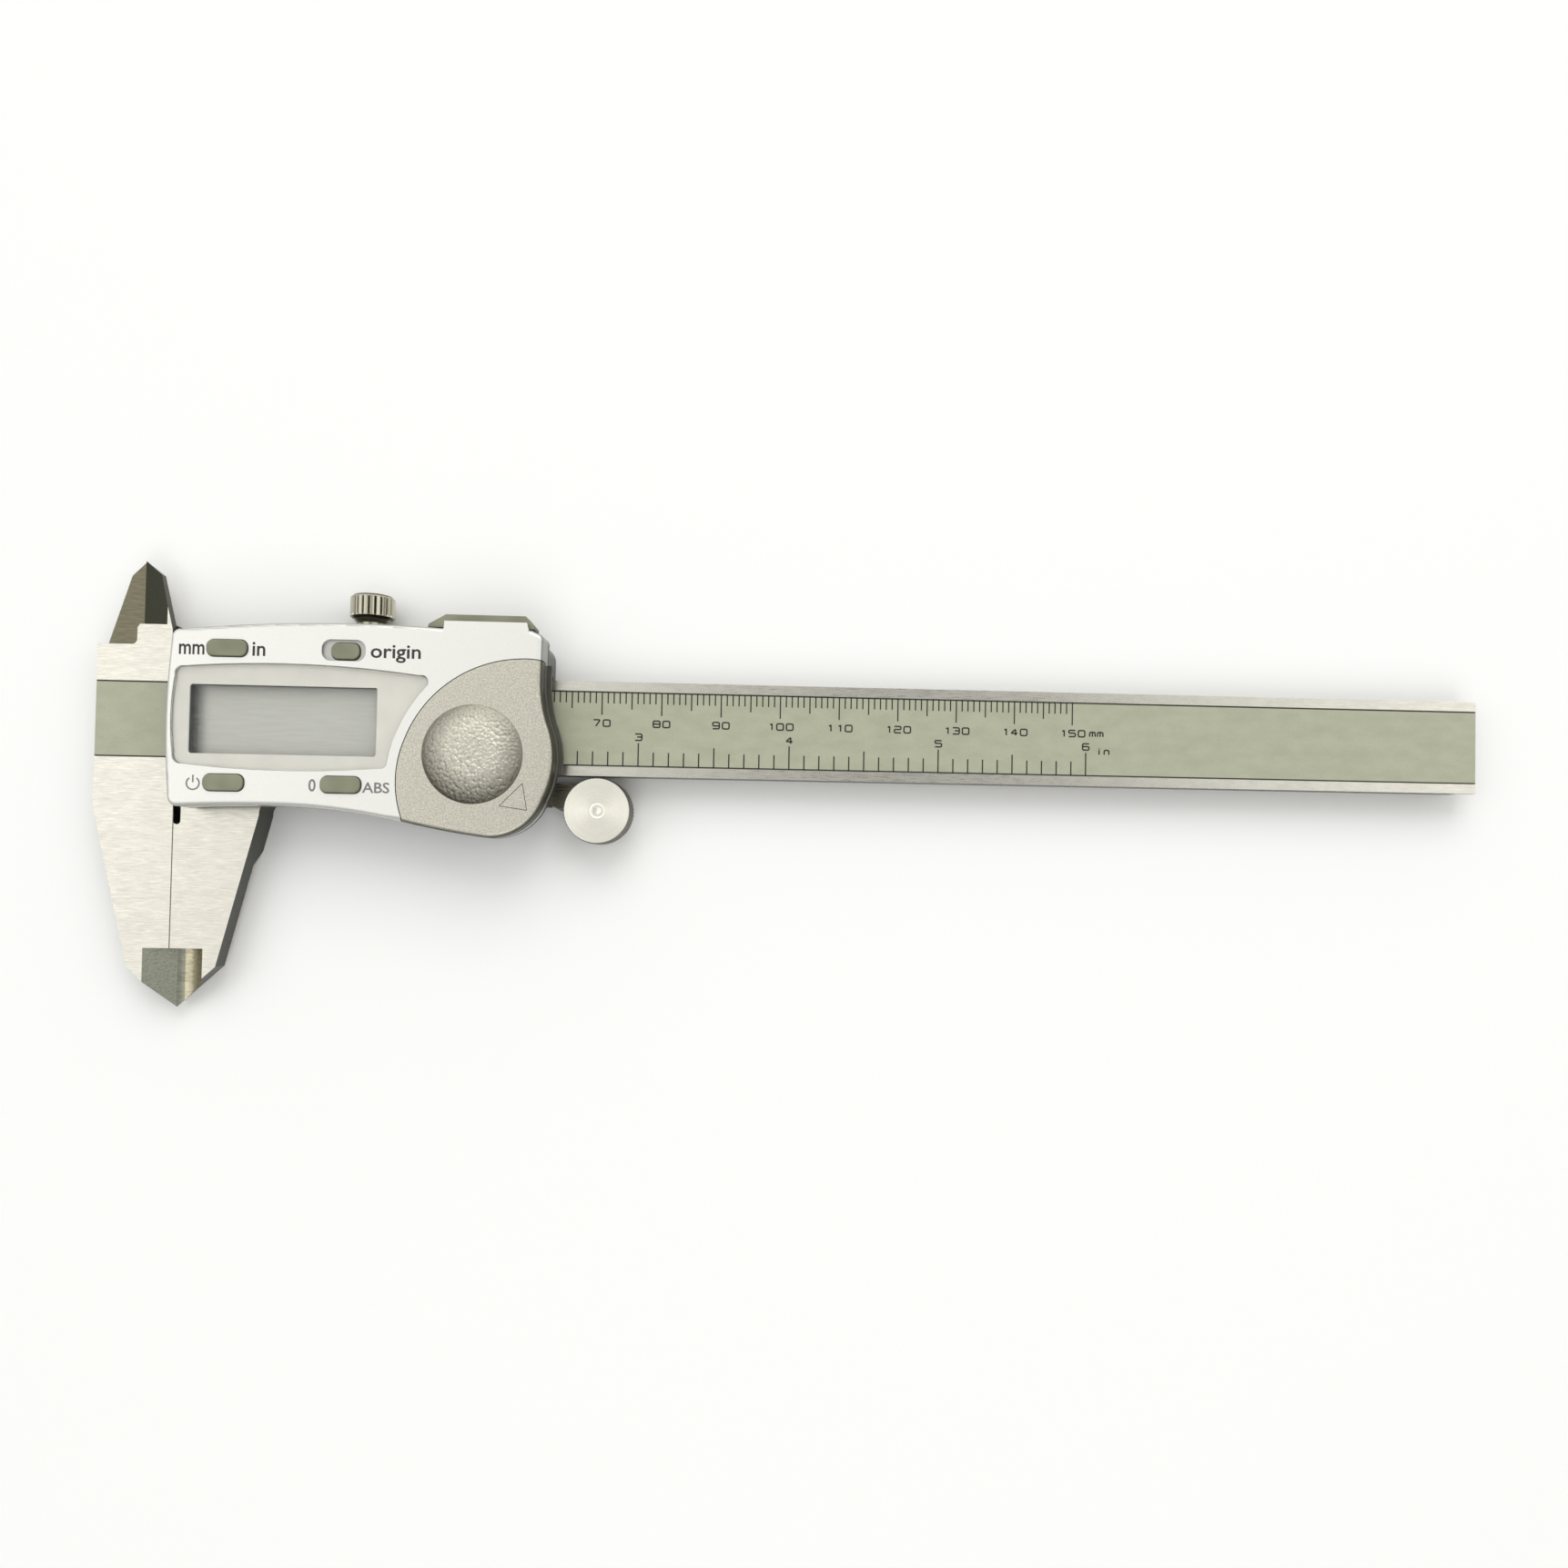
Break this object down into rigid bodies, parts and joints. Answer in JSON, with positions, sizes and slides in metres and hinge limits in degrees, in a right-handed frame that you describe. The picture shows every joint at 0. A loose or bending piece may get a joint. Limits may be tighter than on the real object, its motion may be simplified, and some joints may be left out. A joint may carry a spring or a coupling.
{
  "type": "digital caliper",
  "caption": "Digital caliper lying closed on its back: steel beam with scale film, sliding display case, outside and inside jaws, depth rod, thumb roller and lock screw.",
  "frame": {"origin": "centre of the footprint on the plane that the slider's back rests on", "axes": "+X along the beam away from the fixed jaw, +Y across the beam towards the inside jaws, +Z out of the display"},
  "size_m": [0.234, 0.0744, 0.0138],
  "materials": {
    "steel": "satin ground stainless steel",
    "film": "printed satin laminate, olive grey",
    "glass_fibre": "glass fibre laminate",
    "case_paint": "silver-white painted moulding",
    "case_moulding": "dark grey moulded ABS",
    "cover_paint": "sandblasted champagne silver",
    "button": "olive grey moulded",
    "window": "clear acrylic with a printed border",
    "lcd": "blank liquid crystal glass",
    "black_moulding": "black moulded frame",
    "zebra": "conductive rubber",
    "board": "green solder mask",
    "chip": "black epoxy blob",
    "contact": "gold-plated spring strip",
    "cell": "nickel-plated steel",
    "screw": "plated steel",
    "shoe": "turned brass",
    "bronze": "phosphor bronze",
    "roller": "turned steel, knurled rim",
    "knob": "turned steel, fluted",
    "wiper": "black foam",
    "back_plate": "blank anodised aluminium",
    "port_cover": "olive grey moulded"
  },
  "bodies": {
    "beam": {"beam_and_fixed_jaw": "steel", "scale_strip": "glass_fibre", "scale_film": "film", "rod_stop_plate": "steel", "stop_plate_screws": "screw"},
    "slider": {"slider_frame": "steel", "gib_strip": "bronze", "gib_set_screws": "screw", "depth_rod": "steel", "depth_rod_screws": "screw", "back_plate": "back_plate", "case_base": "case_moulding", "case_screws": "screw", "front_case": "case_paint", "front_case_screws": "screw", "display_window": "window", "lcd_panel": "lcd", "lcd_frame": "black_moulding", "zebra_strips": "zebra", "main_board": "board", "board_screws": "screw", "pickup_board": "board", "board_connector": "black_moulding", "measuring_chip": "chip", "dome_switches": "contact", "battery_cell": "cell", "battery_bottom_contact": "contact", "battery_side_contact": "contact", "data_port_block": "black_moulding", "data_port_contacts": "contact", "left_wiper": "wiper", "right_wiper": "wiper", "roller_bracket": "steel", "bracket_screws": "screw", "roller_axle": "screw"},
    "thumb_roller": {"thumb_roller": "roller"},
    "lock_shoe": {"lock_shoe": "shoe"},
    "lock_screw": {"lock_stud": "knob", "lock_knob": "knob"},
    "unit_button": {"unit_button": "button"},
    "origin_button": {"origin_button": "button"},
    "power_button": {"power_button": "button"},
    "zero_button": {"zero_button": "button"},
    "battery_cover": {"battery_cover": "cover_paint"},
    "port_cover": {"port_cover": "port_cover"}
  },
  "joints": [
    {"name": "slider_travel", "type": "slide", "parent": "beam", "child": "slider", "axis": [1, 0, 0], "range_m": [0, 0.15]},
    {"name": "roller_spin", "type": "hinge", "parent": "slider", "child": "thumb_roller", "pos_m": [-0.03422, -0.0033, 0.0038], "axis": [0, 0, 1], "range_deg": [0, 1525]},
    {"name": "lock_advance", "type": "slide", "parent": "slider", "child": "lock_shoe", "axis": [0, -1, 0], "range_m": [-0.00025, 0.00025]},
    {"name": "lock_turn", "type": "hinge", "parent": "lock_shoe", "child": "lock_screw", "pos_m": [-0.07293, 0.0266, 0.004], "axis": [0, -1, 0], "range_deg": [-180, 180]},
    {"name": "unit_button_press", "type": "slide", "parent": "slider", "child": "unit_button", "axis": [0, 0, -1], "range_m": [0, 0.0005], "stiffness_N_per_m": 900, "springref_m": -0.0001},
    {"name": "origin_button_press", "type": "slide", "parent": "slider", "child": "origin_button", "axis": [0, 0, -1], "range_m": [0, 0.0005], "stiffness_N_per_m": 900, "springref_m": -0.0001},
    {"name": "power_button_press", "type": "slide", "parent": "slider", "child": "power_button", "axis": [0, 0, -1], "range_m": [0, 0.0005], "stiffness_N_per_m": 900, "springref_m": -0.0001},
    {"name": "zero_button_press", "type": "slide", "parent": "slider", "child": "zero_button", "axis": [0, 0, -1], "range_m": [0, 0.0005], "stiffness_N_per_m": 900, "springref_m": -0.0001},
    {"name": "battery_cover_slide", "type": "slide", "parent": "slider", "child": "battery_cover", "axis": [0.7071, -0.7071, 0], "range_m": [0, 0.012]},
    {"name": "port_cover_slide", "type": "slide", "parent": "slider", "child": "port_cover", "axis": [1, 0, 0], "range_m": [0, 0.011]}
  ],
  "couplings": [
    {"joint": "roller_spin", "follows": "slider_travel", "rad_per_m": 176.99},
    {"joint": "lock_turn", "follows": "lock_advance", "rad_per_m": 12566}
  ]
}
